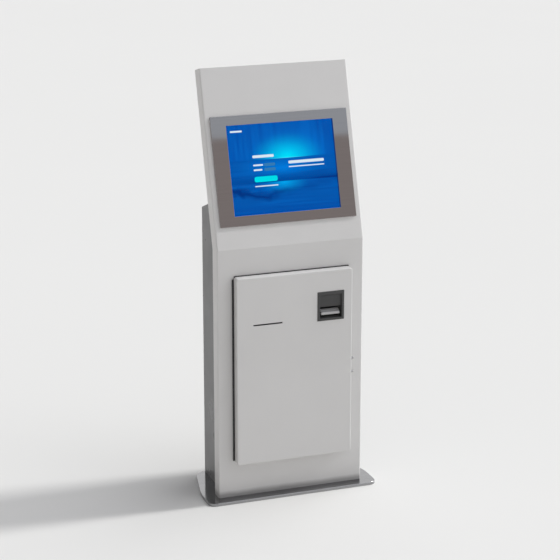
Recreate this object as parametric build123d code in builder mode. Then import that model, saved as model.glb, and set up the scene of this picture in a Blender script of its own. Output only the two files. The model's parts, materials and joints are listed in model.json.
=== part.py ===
from build123d import *

import math
import os

os.makedirs("parts", exist_ok=True)

# Floor-standing self checkout kiosk.  Millimetres, +Z up, the front faces -Y.
# The origin is the centre of the kiosk's footprint on the floor.

# ---------------------------------------------------------------- driving dimensions
SHEET = 2.0                      # folded steel sheet of the fascia, housing and door
BASE_T = 10.0                    # thickness of the floor plate
BASE_HALF_X = 306.0
BASE_HALF_Y = 151.0
BASE_REAR_HALF_X = 263.0         # where the tapered flanks would meet the rear edge
BASE_TAPER_Y = -46.0             # the flanks start to taper here

FRONT_Y = -108.0                 # plane of the upright fascia
FASCIA_HALF_X = 260.0
FASCIA_DEPTH = 46.0              # depth of the folded returns, all the way up
KNEE_Z = 885.0                   # bend between the upright and the leaning fascia
TILT = math.radians(16.67)       # lean of the screen head
HEAD_LENGTH = 603.3              # from the knee up the slope to the top edge
BEND_R = 5.0

HOUSING_HALF_X = 230.0
HOUSING_REAR_Y = 149.0
HOUSING_REAR_Z = 972.0           # top of the rear wall
HOUSING_FRONT_S = 171.0          # the sloping top meets the head this far up its slope

DOOR_X = (-204.0, 208.0)
DOOR_Z = (134.0, 792.0)
DOOR_DEPTH = 30.0
DOOR_GAP = 4.3                   # shadow gap between the fascia and the door
DOOR_RETURN = 12.0               # inward flange round the back of the door tray
OPENING_X = (-172.0, 180.0)
OPENING_Z = (166.0, 762.0)

SCREEN_X = (-188.5, 188.5)       # 19 inch display, 5:4
SCREEN_S = (107.5, 408.7)
BEZEL_X = (-241.0, 241.0)
BEZEL_S = (74.5, 440.4)
BEZEL_T = 5.0

SLOT_X = (-146.0, -43.0)         # receipt slot in the door
SLOT_Z = (624.0, 629.0)
ACCEPTOR_X = (82.0, 178.0)       # banknote acceptor bezel
ACCEPTOR_Z = (617.0, 719.0)

LOCK_Z = {"upper": 468.0, "lower": 420.0}
ANCHOR_SPACING = (360.0, 150.0)
ANCHOR_Y = 40.0
ANCHOR_R = 6.5                   # clears an M12 anchor
CABLE_ENTRY_R = 30.0
GROMMET_BORE_R = 24.0
SCREW_HOLE_R = 2.6
SHELF_Z = 250.0

# ---------------------------------------------------------------- derived positions
DOOR_BACK_Y = FRONT_Y - DOOR_GAP
DOOR_FRONT_Y = DOOR_BACK_Y - DOOR_DEPTH
DOOR_MID_Y = (DOOR_BACK_Y + DOOR_FRONT_Y) / 2
PAN_T = 1.5                      # inner panel of the door and the brackets on it
PAN_Y = (DOOR_BACK_Y - SHEET - PAN_T, DOOR_BACK_Y - SHEET)
HINGE_X = DOOR_X[0] - 3.3
HINGE_Y = FRONT_Y - 3.6
HINGE_R = 3.0
HINGE_PIN_R = 1.5
HINGE_Z = (DOOR_Z[0] + 9.0, DOOR_Z[1] - 9.0)
FLOOR_Z = BASE_T                 # the cabinet stands on the floor plate

HEAD = Plane(
    origin=(0, FRONT_Y, KNEE_Z),
    x_dir=(1, 0, 0),
    z_dir=(0, -math.cos(TILT), math.sin(TILT)),
)


# ---------------------------------------------------------------- helpers
def block(x, y, z, mode=Mode.ADD):
    """Box between a low and a high limit on each axis."""
    with Locations(((x[0] + x[1]) / 2, (y[0] + y[1]) / 2, (z[0] + z[1]) / 2)):
        Box(x[1] - x[0], y[1] - y[0], z[1] - z[0], mode=mode)


def slab(plane, x, y, depth, radius=0.0, mode=Mode.ADD):
    """Rectangle on a plane, taken from one depth to another along its normal."""
    with BuildSketch(plane.offset(depth[0])) as outline:
        with Locations(((x[0] + x[1]) / 2, (y[0] + y[1]) / 2)):
            if radius:
                RectangleRounded(x[1] - x[0], y[1] - y[0], radius)
            else:
                Rectangle(x[1] - x[0], y[1] - y[0])
    extrude(outline.sketch, amount=depth[1] - depth[0], mode=mode)


def disc(plane, centre, radius, depth, mode=Mode.ADD):
    """Cylinder on a plane, from one depth to another along its normal."""
    with BuildSketch(plane.offset(depth[0])) as outline:
        with Locations(centre):
            Circle(radius)
    extrude(outline.sketch, amount=depth[1] - depth[0], mode=mode)


def front_plane(y):
    """Upright plane that faces the customer; its axes are X and Z."""
    return Plane(origin=(0, y, 0), x_dir=(1, 0, 0), z_dir=(0, -1, 0))


def rear_plane(y):
    """Upright plane whose normal points to the rear; its axes are X and -Z."""
    return Plane(origin=(0, y, 0), x_dir=(1, 0, 0), z_dir=(0, 1, 0))


def side_profile(points, x):
    """Closed outline of (y, z) points, extruded between two x limits."""
    with BuildSketch(Plane.YZ.offset(x[0])) as outline:
        with BuildLine():
            Polyline(*points, close=True)
        make_face()
    return extrude(outline.sketch, amount=x[1] - x[0], mode=Mode.PRIVATE)


def on_head(s, depth):
    """(y, z) of a point up the head's slope and behind its face."""
    y = FRONT_Y + s * math.sin(TILT) + depth * math.cos(TILT)
    z = KNEE_Z + s * math.cos(TILT) - depth * math.sin(TILT)
    return (y, z)


def at_knee(depth):
    """(y, z) where the upright and the leaning planes of one depth meet."""
    return (FRONT_Y + depth, KNEE_Z - depth * math.tan(TILT / 2))


def finish(part, name):
    """Label a piece and write it."""
    part.label = name
    export_step(part, f"parts/{name}.step")


def fascia_profile(front, back, foot, top):
    """Outline of the fascia between two depths, from the foot to the head's top."""
    return [
        (FRONT_Y + front, foot),
        at_knee(front),
        on_head(top, front),
        on_head(top, back),
        at_knee(back),
        (FRONT_Y + back, foot),
    ]


# ---------------------------------------------------------------- floor plate
SCREW_SPOTS = [(x, y) for x in (-190.0, 0.0, 190.0) for y in (FRONT_Y + 24, 138.0)]

with BuildPart() as base_plate:
    with BuildSketch(Plane.XY):
        with BuildLine():
            FilletPolyline(
                (0, -BASE_HALF_Y),
                (BASE_HALF_X, -BASE_HALF_Y),
                (BASE_HALF_X, BASE_TAPER_Y),
                (BASE_REAR_HALF_X, BASE_HALF_Y),
                (0, BASE_HALF_Y),
                (-BASE_REAR_HALF_X, BASE_HALF_Y),
                (-BASE_HALF_X, BASE_TAPER_Y),
                (-BASE_HALF_X, -BASE_HALF_Y),
                radius=[0, 29, 300, 58, 0, 58, 300, 29],
                close=True,
            )
        make_face()
    extrude(amount=BASE_T)
    chamfer(base_plate.faces().sort_by(Axis.Z)[-1].edges(), 1.0)
    with Locations((0, ANCHOR_Y, BASE_T)):
        with GridLocations(*ANCHOR_SPACING, 2, 2):
            Hole(ANCHOR_R)
        Hole(CABLE_ENTRY_R)
    with Locations(*[(x, y, BASE_T) for x, y in SCREW_SPOTS]):
        Hole(SCREW_HOLE_R, depth=BASE_T - 2)
finish(base_plate.part, "base_plate")

with BuildPart() as cable_grommet:
    with BuildSketch(Plane.XZ.offset(-ANCHOR_Y)):
        with BuildLine():
            Polyline(
                (GROMMET_BORE_R, 1),
                (CABLE_ENTRY_R, 1),
                (CABLE_ENTRY_R, BASE_T),
                (CABLE_ENTRY_R + 5, BASE_T),
                (CABLE_ENTRY_R + 3, BASE_T + 4),
                (GROMMET_BORE_R + 2, BASE_T + 4),
                (GROMMET_BORE_R, BASE_T + 2),
                close=True,
            )
        make_face()
    revolve(axis=Axis((0, ANCHOR_Y, 0), (0, 0, 1)))
finish(cable_grommet.part, "cable_grommet")

# ---------------------------------------------------------------- front fascia
LOCK_SLOT_X = (193.0, 198.5)
MOUTH_X = (-214.0, 214.0)        # open back of the fascia and front of the housing
SCREEN_CUT_MARGIN = 3.5          # the cut in the head clears the bezel's inner lip

with BuildPart() as front_fascia:
    add(side_profile(
        fascia_profile(0, FASCIA_DEPTH, FLOOR_Z, HEAD_LENGTH),
        (-FASCIA_HALF_X, FASCIA_HALF_X),
    ))
    outer_faces = front_fascia.faces().filter_by(
        lambda f: f.normal_at().Y < -0.9 and f.area > 1e5
    )
    front_edges = outer_faces.edges().filter_by(
        lambda e: abs(e.tangent_at(0.5).X) < 0.1
    )
    fillet(front_edges, BEND_R)
    inner_x = (-FASCIA_HALF_X + SHEET, FASCIA_HALF_X - SHEET)
    add(
        side_profile(
            fascia_profile(SHEET, FASCIA_DEPTH - SHEET, FLOOR_Z + SHEET, HEAD_LENGTH - SHEET),
            inner_x,
        ),
        mode=Mode.SUBTRACT,
    )
    add(
        side_profile(
            fascia_profile(SHEET, FASCIA_DEPTH + SHEET, FLOOR_Z + SHEET, HEAD_LENGTH - 24),
            MOUTH_X,
        ),
        mode=Mode.SUBTRACT,
    )
    slab(front_plane(FRONT_Y), OPENING_X, OPENING_Z, (-SHEET, 0), 6, Mode.SUBTRACT)
    slab(
        HEAD,
        (SCREEN_X[0] - SCREEN_CUT_MARGIN, SCREEN_X[1] + SCREEN_CUT_MARGIN),
        (SCREEN_S[0] - SCREEN_CUT_MARGIN, SCREEN_S[1] + SCREEN_CUT_MARGIN),
        (-SHEET, 0),
        4,
        Mode.SUBTRACT,
    )
    for lock_z in LOCK_Z.values():
        slab(
            front_plane(FRONT_Y),
            LOCK_SLOT_X,
            (lock_z - 31, lock_z + 5.5),
            (-SHEET, 0),
            mode=Mode.SUBTRACT,
        )
    with Locations(*[(x, y, FLOOR_Z + SHEET) for x, y in SCREW_SPOTS if y < 0]):
        Hole(SCREW_HOLE_R, depth=SHEET)
finish(front_fascia.part, "front_fascia")

FRAME_DEPTH = 18.0
FRAME_FLANGE = 20.0
FRAME_LOCK_FLANGE = 10.0         # narrower beside the lock slots
with BuildPart() as door_opening_frame:
    frame_plane = front_plane(FRONT_Y + SHEET)
    slab(
        frame_plane,
        (OPENING_X[0] - FRAME_FLANGE, OPENING_X[1] + FRAME_LOCK_FLANGE),
        (OPENING_Z[0] - FRAME_FLANGE, OPENING_Z[1] + FRAME_FLANGE),
        (-SHEET, 0),
        4,
    )
    slab(
        frame_plane,
        (OPENING_X[0] - SHEET, OPENING_X[1] + SHEET),
        (OPENING_Z[0] - SHEET, OPENING_Z[1] + SHEET),
        (-FRAME_DEPTH, 0),
        8,
    )
    slab(frame_plane, OPENING_X, OPENING_Z, (-FRAME_DEPTH, 0), 6, Mode.SUBTRACT)
finish(door_opening_frame.part, "door_opening_frame")

SEAL_T = 3.3
SEAL_INNER = 2.0                 # edges of the seal, measured out from the opening
SEAL_OUTER_X = 10.0              # stops short of the hinge and the lock slots
SEAL_OUTER_Z = 28.0              # reaches nearly to the edge of the door
DRIP_STRIP_X = (DOOR_X[0] + 2, DOOR_X[1] - 2)
DRIP_STRIP_Z = (DOOR_Z[1] - 6, DOOR_Z[1] + 2.5)
with BuildPart() as door_seal:
    for reach_x, reach_z, radius, seal_mode in (
        (SEAL_OUTER_X, SEAL_OUTER_Z, 8, Mode.ADD),
        (SEAL_INNER, SEAL_INNER, 5, Mode.SUBTRACT),
    ):
        slab(
            front_plane(FRONT_Y),
            (OPENING_X[0] - reach_x, OPENING_X[1] + reach_x + 1),
            (OPENING_Z[0] - reach_z, OPENING_Z[1] + reach_z),
            (0, SEAL_T),
            radius,
            seal_mode,
        )
    block(DRIP_STRIP_X, (FRONT_Y - SEAL_T, FRONT_Y), DRIP_STRIP_Z)
finish(door_seal.part, "door_seal")

RAIL_X = (-256.0, 256.0)
RAIL_Z = (838.0, 868.0)
RAIL_DEPTH = 40.0
with BuildPart() as cross_rail:
    block(RAIL_X, (FRONT_Y + SHEET, FRONT_Y + RAIL_DEPTH), RAIL_Z)
    block(
        RAIL_X,
        (FRONT_Y + 2 * SHEET, FRONT_Y + RAIL_DEPTH + 1),
        (RAIL_Z[0] + SHEET, RAIL_Z[1] - SHEET),
        Mode.SUBTRACT,
    )
    with BuildSketch(Plane.XY.offset(RAIL_Z[0])):
        with Locations((0, FRONT_Y + RAIL_DEPTH / 2 + SHEET)):
            with GridLocations(130, 1, 3, 1):
                SlotOverall(60, 16)
    extrude(amount=RAIL_Z[1] - RAIL_Z[0], mode=Mode.SUBTRACT)
finish(cross_rail.part, "cross_rail")

# ---------------------------------------------------------------- rear housing
FAN_X = -120.0
FAN_Z = 830.0
FAN_PITCH = 105.0
FAN_HOLE_R = 56.0
FAN_SCREW_HOLE_R = 2.2
VENT_ROWS = 12
VENT_PITCH = 14.0
VENT_FOOT_Z = 190.0
INLET_X = (120.0, 178.0)
INLET_Z = (60.0, 110.0)


def housing_profile(inset, front_depth, foot):
    """Outline of the rear housing, moved in by a wall thickness."""
    top_front = on_head(HOUSING_FRONT_S - inset, front_depth)
    return [
        (FRONT_Y + front_depth, foot),
        at_knee(front_depth),
        top_front,
        (HOUSING_REAR_Y - inset, HOUSING_REAR_Z - inset),
        (HOUSING_REAR_Y - inset, foot),
    ]


with BuildPart() as rear_housing:
    add(side_profile(
        housing_profile(0, FASCIA_DEPTH, FLOOR_Z),
        (-HOUSING_HALF_X, HOUSING_HALF_X),
    ))
    rear_edges = rear_housing.edges().filter_by(Axis.Z).group_by(Axis.Y)[-1]
    fillet(rear_edges, 6)
    housing_inner_x = (-HOUSING_HALF_X + SHEET, HOUSING_HALF_X - SHEET)
    add(
        side_profile(
            housing_profile(SHEET, FASCIA_DEPTH + SHEET, FLOOR_Z + SHEET),
            housing_inner_x,
        ),
        mode=Mode.SUBTRACT,
    )
    front_mouth = side_profile(
        housing_profile(SHEET + 8, FASCIA_DEPTH - SHEET, FLOOR_Z + SHEET),
        MOUTH_X,
    )
    add(front_mouth, mode=Mode.SUBTRACT)
    block(
        MOUTH_X,
        (FRONT_Y + FASCIA_DEPTH - SHEET, 120),
        (FLOOR_Z - 1, FLOOR_Z + SHEET + 1),
        Mode.SUBTRACT,
    )
    with Locations(*[(x, y, FLOOR_Z + SHEET) for x, y in SCREW_SPOTS if y > 0]):
        Hole(SCREW_HOLE_R, depth=SHEET)
    disc(rear_plane(HOUSING_REAR_Y), (FAN_X, -FAN_Z), FAN_HOLE_R, (-SHEET, 0), Mode.SUBTRACT)
    with BuildSketch(rear_plane(HOUSING_REAR_Y)):
        with Locations((FAN_X, -FAN_Z)):
            with GridLocations(FAN_PITCH, FAN_PITCH, 2, 2):
                Circle(FAN_SCREW_HOLE_R)
        for column in (-95, 95):
            for row in range(VENT_ROWS):
                with Locations((column, -(VENT_FOOT_Z + VENT_PITCH * row))):
                    SlotOverall(130, 5)
    extrude(amount=-SHEET, mode=Mode.SUBTRACT)
    slab(
        rear_plane(HOUSING_REAR_Y),
        (INLET_X[0] + 4, INLET_X[1] - 4),
        (-INLET_Z[1] + 4, -INLET_Z[0] - 4),
        (-SHEET, 0),
        2,
        Mode.SUBTRACT,
    )
finish(rear_housing.part, "rear_housing")

# ---------------------------------------------------------------- rear cover of the head
COVER_X = 250.0
COVER_S = (178.0, 596.0)
HUMP_X = (-205.0, 205.0)
HUMP_S = (200.0, 556.0)
HUMP_DEPTH = 90.0
HUMP_TAPER = 14.0
COVER_T = 1.5
COVER_SCREWS = [(x, s) for x in (-238.0, 238.0) for s in (192.0, 390.0, 584.0)]

with BuildPart() as head_rear_cover:
    back = -FASCIA_DEPTH
    slab(HEAD, (-COVER_X, COVER_X), COVER_S, (back - COVER_T, back), 4)
    with BuildSketch(HEAD.offset(back - COVER_T)) as hump_outline:
        with Locations((0, sum(HUMP_S) / 2)):
            RectangleRounded(HUMP_X[1] - HUMP_X[0], HUMP_S[1] - HUMP_S[0], 14)
    extrude(hump_outline.sketch, amount=-(HUMP_DEPTH + back - COVER_T), taper=HUMP_TAPER)
    with BuildSketch(HEAD.offset(back)) as hump_hollow:
        with Locations((0, sum(HUMP_S) / 2)):
            RectangleRounded(HUMP_X[1] - HUMP_X[0] - 4, HUMP_S[1] - HUMP_S[0] - 4, 12)
    extrude(
        hump_hollow.sketch,
        amount=-(HUMP_DEPTH + back - COVER_T),
        taper=HUMP_TAPER,
        mode=Mode.SUBTRACT,
    )
    with BuildSketch(HEAD.offset(-HUMP_DEPTH)) as hump_vents:
        for column in (-85, 85):
            for row in range(8):
                with Locations((column, 300 + 20 * row)):
                    SlotOverall(120, 5)
    extrude(hump_vents.sketch, amount=8, mode=Mode.SUBTRACT)
    for x, s in COVER_SCREWS:
        disc(HEAD, (x, s), 2.2, (back - COVER_T, back), Mode.SUBTRACT)
finish(head_rear_cover.part, "head_rear_cover")

with BuildPart() as head_cover_screws:
    for x, s in COVER_SCREWS:
        disc(HEAD, (x, s), 4.0, (back - COVER_T - 2.5, back - COVER_T))
        disc(HEAD, (x, s), 2.0, (back - COVER_T, back))
finish(head_cover_screws.part, "head_cover_screws")

# ---------------------------------------------------------------- screen
BEZEL_LIP = 3.0                  # lip that reaches back through the head's cut
GLASS_BACK = -5.0
PANEL_BACK = -18.0

with BuildPart() as screen_bezel:
    slab(HEAD, BEZEL_X, BEZEL_S, (0, BEZEL_T), 2)
    slab(
        HEAD,
        (SCREEN_X[0] - BEZEL_LIP, SCREEN_X[1] + BEZEL_LIP),
        (SCREEN_S[0] - BEZEL_LIP, SCREEN_S[1] + BEZEL_LIP),
        (-SHEET, 0),
        3.5,
    )
    slab(HEAD, SCREEN_X, SCREEN_S, (-SHEET, BEZEL_T), mode=Mode.SUBTRACT)
finish(screen_bezel.part, "screen_bezel")

with BuildPart() as touch_glass:
    slab(HEAD, (-204, 204), (92, 424.2), (GLASS_BACK, -SHEET), 3)
finish(touch_glass.part, "touch_glass")

with BuildPart() as lcd_panel:
    slab(HEAD, (-198, 198), (98, 418.2), (PANEL_BACK, GLASS_BACK), 2)
finish(lcd_panel.part, "lcd_panel")

CHASSIS_BACK = -44.5
CHASSIS_T = 1.2
with BuildPart() as monitor_chassis:
    slab(HEAD, (-200, 200), (94, 422.2), (CHASSIS_BACK, PANEL_BACK), 4)
    slab(
        HEAD,
        (-200 + CHASSIS_T, 200 - CHASSIS_T),
        (94 + CHASSIS_T, 422.2 - CHASSIS_T),
        (CHASSIS_BACK + CHASSIS_T, PANEL_BACK),
        3,
        Mode.SUBTRACT,
    )
    with BuildSketch(HEAD.offset(CHASSIS_BACK)) as chassis_vents:
        for column in (-160, 160):
            for row in range(12):
                with Locations((column, 180 + 14 * row)):
                    SlotOverall(56, 5)
    extrude(chassis_vents.sketch, amount=2, mode=Mode.SUBTRACT)
finish(monitor_chassis.part, "monitor_chassis")

DRIVER_BOX_BACK = -74.0
with BuildPart() as monitor_driver_box:
    slab(HEAD, (-120, 120), (215, 395), (DRIVER_BOX_BACK, CHASSIS_BACK), 3)
    slab(
        HEAD,
        (-120 + CHASSIS_T, 120 - CHASSIS_T),
        (215 + CHASSIS_T, 395 - CHASSIS_T),
        (DRIVER_BOX_BACK + CHASSIS_T, CHASSIS_BACK),
        2,
        Mode.SUBTRACT,
    )
    for foot_s in (240, 354):
        for foot_x in ((-134, -120 + CHASSIS_T), (120 - CHASSIS_T, 134)):
            slab(
                HEAD,
                foot_x,
                (foot_s, foot_s + 16),
                (CHASSIS_BACK - CHASSIS_T, CHASSIS_BACK),
            )
    with BuildSketch(HEAD.offset(DRIVER_BOX_BACK)) as box_vents:
        for row in range(8):
            with Locations((0, 255 + 14 * row)):
                SlotOverall(150, 5)
    extrude(box_vents.sketch, amount=2, mode=Mode.SUBTRACT)
finish(monitor_driver_box.part, "monitor_driver_box")

# x, s, width, height and thickness of the parts on the driver board
BOARD_PARTS = [
    (-60, 262, 36, 30, 9),
    (-10, 268, 24, 24, 5),
    (40, 262, 30, 22, 10),
    (-40, 330, 60, 14, 8),
    (40, 330, 20, 20, 9),
]
BOARD_DEPTH = (-63.0, -61.4)
with BuildPart() as lcd_driver_board:
    slab(HEAD, (-90, 70), (235, 350), BOARD_DEPTH)
    for x, s, width, height, thickness in BOARD_PARTS:
        slab(
            HEAD,
            (x - width / 2, x + width / 2),
            (s - height / 2, s + height / 2),
            (BOARD_DEPTH[1], BOARD_DEPTH[1] + thickness),
        )
    for x in (-86, 66):
        for s in (239, 346):
            disc(HEAD, (x, s), 3, (DRIVER_BOX_BACK + CHASSIS_T, BOARD_DEPTH[0]))
finish(lcd_driver_board.part, "lcd_driver_board")

# Z-section rails: (x range, depth range) of each leg, mirrored to both sides
RAIL_LEGS = [
    ((200.0, 202.0), (-44.0, -18.0)),
    ((200.0, 206.5), (-20.0, -18.0)),
    ((204.5, 206.5), (-20.0, -SHEET)),
    ((204.5, 222.0), (-4.0, -SHEET)),
]
with BuildPart() as monitor_rails:
    for side in (-1, 1):
        for leg_x, leg_depth in RAIL_LEGS:
            slab(HEAD, sorted(side * x for x in leg_x), (104, 412), leg_depth)
finish(monitor_rails.part, "monitor_rails")

# ---------------------------------------------------------------- cooling fan
FAN_REAR_Y = HOUSING_REAR_Y - SHEET
FAN_THICK = 25.0
FAN_HALF = 60.0
GUARD_T = 1.7
GUARD_WIRE = 2.2
GUARD_RINGS = (52, 42, 32, 22, 12)
FAN_Y = (FAN_REAR_Y - GUARD_T - FAN_THICK, FAN_REAR_Y - GUARD_T)
STRUT_T = 3.0
AXLE_R = 3.0
HUB_R = 19.0

with BuildPart() as fan_guard:
    guard_plane = rear_plane(FAN_REAR_Y - GUARD_T)
    with BuildSketch(guard_plane) as guard_outline:
        with Locations((FAN_X, -FAN_Z)):
            for ring in GUARD_RINGS:
                Circle(ring + GUARD_WIRE / 2)
                Circle(ring - GUARD_WIRE / 2, mode=Mode.SUBTRACT)
            with PolarLocations(40, 4, start_angle=45):
                Rectangle(60, 4)
            with GridLocations(FAN_PITCH, FAN_PITCH, 2, 2):
                Circle(4.5)
            with GridLocations(FAN_PITCH, FAN_PITCH, 2, 2):
                Circle(FAN_SCREW_HOLE_R, mode=Mode.SUBTRACT)
    extrude(guard_outline.sketch, amount=GUARD_T)
finish(fan_guard.part, "fan_guard")

with BuildPart() as fan_frame:
    slab(
        rear_plane(FAN_Y[0]),
        (FAN_X - FAN_HALF, FAN_X + FAN_HALF),
        (-FAN_Z - FAN_HALF, -FAN_Z + FAN_HALF),
        (0, FAN_THICK),
        5,
    )
    strut_depth = (FAN_THICK - STRUT_T, FAN_THICK)
    disc(rear_plane(FAN_Y[0]), (FAN_X, -FAN_Z), FAN_HALF - 3, (0, FAN_THICK), Mode.SUBTRACT)
    disc(rear_plane(FAN_Y[0]), (FAN_X, -FAN_Z), HUB_R + 1, strut_depth)
    with BuildSketch(rear_plane(FAN_Y[0] + strut_depth[0])) as fan_struts:
        with Locations((FAN_X, -FAN_Z)):
            with PolarLocations(38.5, 4, start_angle=20):
                Rectangle(39, 5)
    extrude(fan_struts.sketch, amount=STRUT_T)
    disc(rear_plane(FAN_Y[0]), (FAN_X, -FAN_Z), AXLE_R, (5, strut_depth[0]))
    with BuildSketch(rear_plane(FAN_Y[0])) as fan_holes:
        with Locations((FAN_X, -FAN_Z)):
            with GridLocations(FAN_PITCH, FAN_PITCH, 2, 2):
                Circle(FAN_SCREW_HOLE_R)
    extrude(fan_holes.sketch, amount=FAN_THICK, mode=Mode.SUBTRACT)
finish(fan_frame.part, "fan_frame")

HUB_LENGTH = 19.0
BLADES = 7
BLADE_T = 1.8
BLADE_TWIST = 38.0
with BuildPart() as fan_rotor:
    hub_plane = rear_plane(FAN_Y[0] + 2)
    disc(hub_plane, (FAN_X, -FAN_Z), HUB_R, (0, HUB_LENGTH))
    for blade in range(BLADES):
        turn = math.radians(360.0 * blade / BLADES)
        spin = Plane(
            origin=(FAN_X, FAN_Y[0] + 2 + HUB_LENGTH / 2, FAN_Z),
            x_dir=(math.cos(turn), 0, math.sin(turn)),
            z_dir=(0, 1, 0),
        )
        blade_plane = Plane(spin.location * Location((HUB_R + 17.5, 0, 0), (BLADE_TWIST, 0, 0)))
        with BuildSketch(blade_plane.offset(-BLADE_T / 2)) as blade_outline:
            RectangleRounded(37, 22, 4)
        extrude(blade_outline.sketch, amount=BLADE_T)
    disc(hub_plane, (FAN_X, -FAN_Z), AXLE_R + 0.05, (2, HUB_LENGTH), Mode.SUBTRACT)
finish(fan_rotor.part, "fan_rotor")

with BuildPart() as fan_screws:
    for x in (FAN_X - FAN_PITCH / 2, FAN_X + FAN_PITCH / 2):
        for z in (FAN_Z - FAN_PITCH / 2, FAN_Z + FAN_PITCH / 2):
            disc(rear_plane(HOUSING_REAR_Y), (x, -z), 3.8, (0, 1.8))
            disc(rear_plane(HOUSING_REAR_Y), (x, -z), 2.0, (-28, 0))
finish(fan_screws.part, "fan_screws")

# ---------------------------------------------------------------- power entry
INLET_MID_Z = sum(INLET_Z) / 2
INLET_RIM = 4.5
INLET_DEPTH = 32.0
SOCKET_X = (INLET_X[0] + 8, INLET_X[0] + 33)
SOCKET_MID_X = sum(SOCKET_X) / 2
SOCKET_HALF_Z = 13.0
SOCKET_DEPTH = 16.0
SOCKET_PINS = ((-6, -3), (6, -3), (0, 4))
PIN_HALF = (1.0, 2.0)
SWITCH_X = (156.0, 172.0)
SWITCH_DEPTH = 14.0
ROCKER_X = (158.0, 170.0)
ROCKER_Y = HOUSING_REAR_Y - 7.0
ROCKER_AXLE_R = 1.5
BUSH_HALF = 2.4

with BuildPart() as mains_inlet:
    inlet_plane = rear_plane(HOUSING_REAR_Y)
    slab(inlet_plane, INLET_X, (-INLET_Z[1], -INLET_Z[0]), (0, 2), 3)
    slab(
        inlet_plane,
        (INLET_X[0] + INLET_RIM, INLET_X[1] - INLET_RIM),
        (-INLET_Z[1] + INLET_RIM, -INLET_Z[0] - INLET_RIM),
        (-INLET_DEPTH, 0),
        1.5,
    )
    mid_z = (-INLET_MID_Z - SOCKET_HALF_Z, -INLET_MID_Z + SOCKET_HALF_Z)
    slab(inlet_plane, SOCKET_X, mid_z, (-SOCKET_DEPTH, 2), 3, Mode.SUBTRACT)
    for pin_x, pin_z in SOCKET_PINS:
        block(
            (SOCKET_MID_X + pin_x - PIN_HALF[0], SOCKET_MID_X + pin_x + PIN_HALF[0]),
            (HOUSING_REAR_Y - SOCKET_DEPTH, HOUSING_REAR_Y - 2),
            (INLET_MID_Z + pin_z - PIN_HALF[1], INLET_MID_Z + pin_z + PIN_HALF[1]),
        )
    slab(inlet_plane, SWITCH_X, mid_z, (-SWITCH_DEPTH, 2), 1, Mode.SUBTRACT)
    for bush_x in ((SWITCH_X[0], SWITCH_X[0] + 1.5), (SWITCH_X[1] - 1.5, SWITCH_X[1])):
        block(
            bush_x,
            (ROCKER_Y - BUSH_HALF, ROCKER_Y + BUSH_HALF),
            (INLET_MID_Z - BUSH_HALF, INLET_MID_Z + BUSH_HALF),
        )
    axle_centre = (ROCKER_Y, INLET_MID_Z)
    disc(Plane.YZ.offset(155), axle_centre, ROCKER_AXLE_R + 0.05, (0, 18), Mode.SUBTRACT)
finish(mains_inlet.part, "mains_inlet")

ROCKER_OUTLINE = ((-2.5, -6), (3.5, -10.5), (5.4, 0), (8.2, 10.5), (-0.5, 8), (-2.5, 0))
with BuildPart() as mains_rocker:
    outline = [(ROCKER_Y + y, INLET_MID_Z + z) for y, z in ROCKER_OUTLINE]
    add(side_profile(outline, ROCKER_X))
    disc(Plane.YZ.offset(155.5), axle_centre, ROCKER_AXLE_R, (0, 17))
finish(mains_rocker.part, "mains_rocker")

# ---------------------------------------------------------------- equipment inside
SHELF_HALF_X = 227.0
SHELF_Y = (-8.0, 146.5)
SHELF_FLANGE = 22.0
with BuildPart() as equipment_shelf:
    block((-SHELF_HALF_X, SHELF_HALF_X), SHELF_Y, (SHELF_Z - SHELF_FLANGE, SHELF_Z))
    block(
        (-SHELF_HALF_X + SHEET, SHELF_HALF_X - SHEET),
        (SHELF_Y[0] + SHEET, SHELF_Y[1] + 1),
        (SHELF_Z - SHELF_FLANGE - 1, SHELF_Z - SHEET),
        Mode.SUBTRACT,
    )
    with BuildSketch(Plane.XY.offset(SHELF_Z)) as shelf_slots:
        with Locations((0, 115)):
            with GridLocations(60, 1, 6, 1):
                SlotOverall(44, 6)
    extrude(shelf_slots.sketch, amount=-SHEET, mode=Mode.SUBTRACT)
finish(equipment_shelf.part, "equipment_shelf")

PC_X = (-170.0, 60.0)
PC_Y = (10.0, 128.0)
PC_Z = (SHELF_Z, SHELF_Z + 78.0)
PC_WALL = 1.5
PC_FRONT_WALL = 3.0
PC_BUTTON_X = -150.0
PC_BUTTON_Z = SHELF_Z + 55.0
BUTTON_R = 7.0
PORTS = 4
with BuildPart() as pc_case:
    block(PC_X, PC_Y, PC_Z)
    fillet(pc_case.edges().filter_by(Axis.Y), 4)
    block(
        (PC_X[0] + PC_WALL, PC_X[1] - PC_WALL),
        (PC_Y[0] + PC_FRONT_WALL, PC_Y[1] - PC_WALL),
        (PC_Z[0] + PC_WALL, PC_Z[1] - PC_WALL),
        Mode.SUBTRACT,
    )
    with BuildSketch(Plane.XY.offset(PC_Z[1])) as pc_vents:
        with Locations((sum(PC_X) / 2, sum(PC_Y) / 2)):
            with GridLocations(1, 10, 1, 8):
                SlotOverall(150, 4)
    extrude(pc_vents.sketch, amount=-PC_WALL, mode=Mode.SUBTRACT)
    pc_front = front_plane(PC_Y[0])
    button_spot = (PC_BUTTON_X, PC_BUTTON_Z)
    disc(pc_front, button_spot, BUTTON_R + 0.3, (-PC_FRONT_WALL, 0), Mode.SUBTRACT)
    for port in range(PORTS):
        port_x = PC_BUTTON_X + 40 + 22 * port
        port_z = (PC_BUTTON_Z - 3, PC_BUTTON_Z + 3)
        slab(pc_front, (port_x, port_x + 13), port_z, (-PC_FRONT_WALL, 0), mode=Mode.SUBTRACT)
finish(pc_case.part, "pc_case")

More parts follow.
